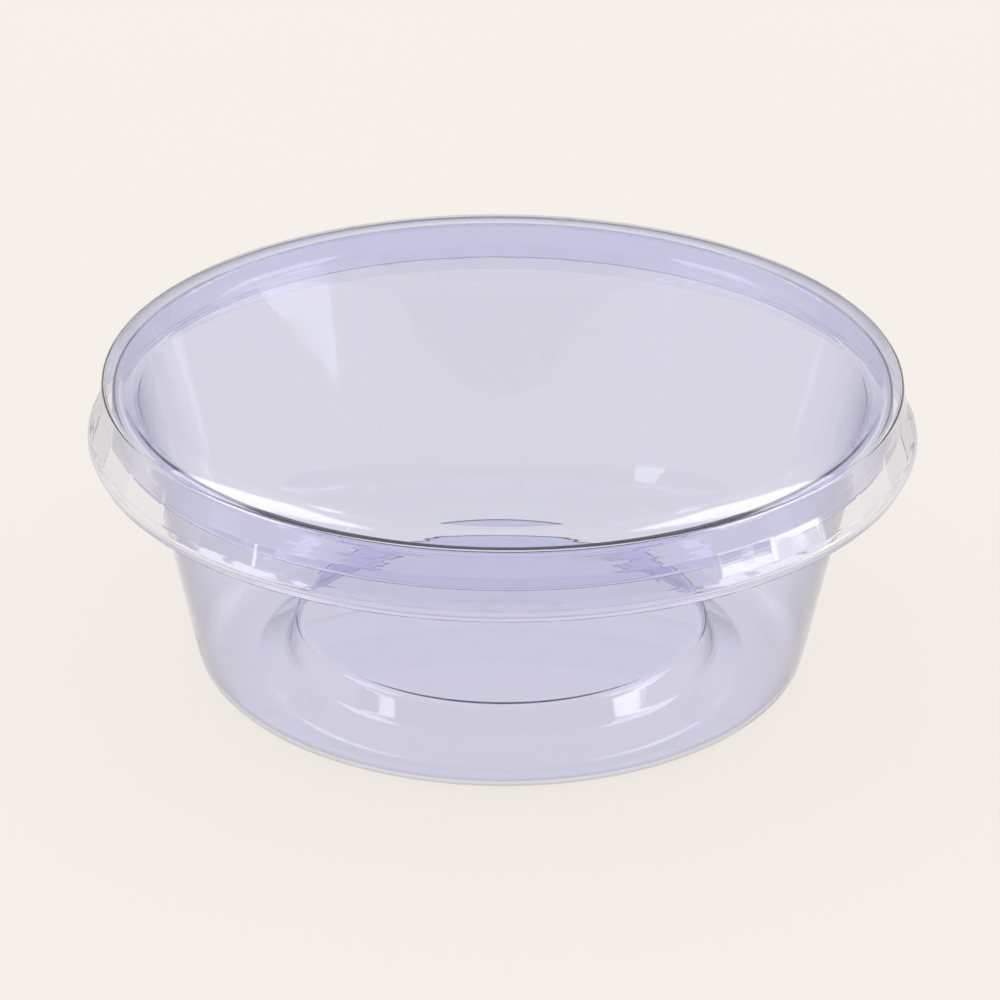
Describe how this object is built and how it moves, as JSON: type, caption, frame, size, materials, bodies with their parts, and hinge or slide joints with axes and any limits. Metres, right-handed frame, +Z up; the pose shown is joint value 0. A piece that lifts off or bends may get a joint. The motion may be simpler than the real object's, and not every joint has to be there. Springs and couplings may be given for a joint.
{
  "type": "plastic sauce container",
  "caption": "Small round see-through plastic cup for sauce, closed by a press-on lid with a raised panel and a flat-sided skirt.",
  "frame": {"origin": "centre of the round foot, in the plane that the cup stands on", "axes": "+Z up, the container's axis; it is round, so +X and +Y are any two level directions"},
  "size_m": [0.08, 0.08, 0.031],
  "materials": {
    "cup_plastic": "clear and glossy, with a faint lavender tone",
    "lid_plastic": "clear and glossy, with a faint lavender tone"
  },
  "bodies": {
    "root": {"cup": "cup_plastic", "lid": "lid_plastic"}
  },
  "joints": []
}
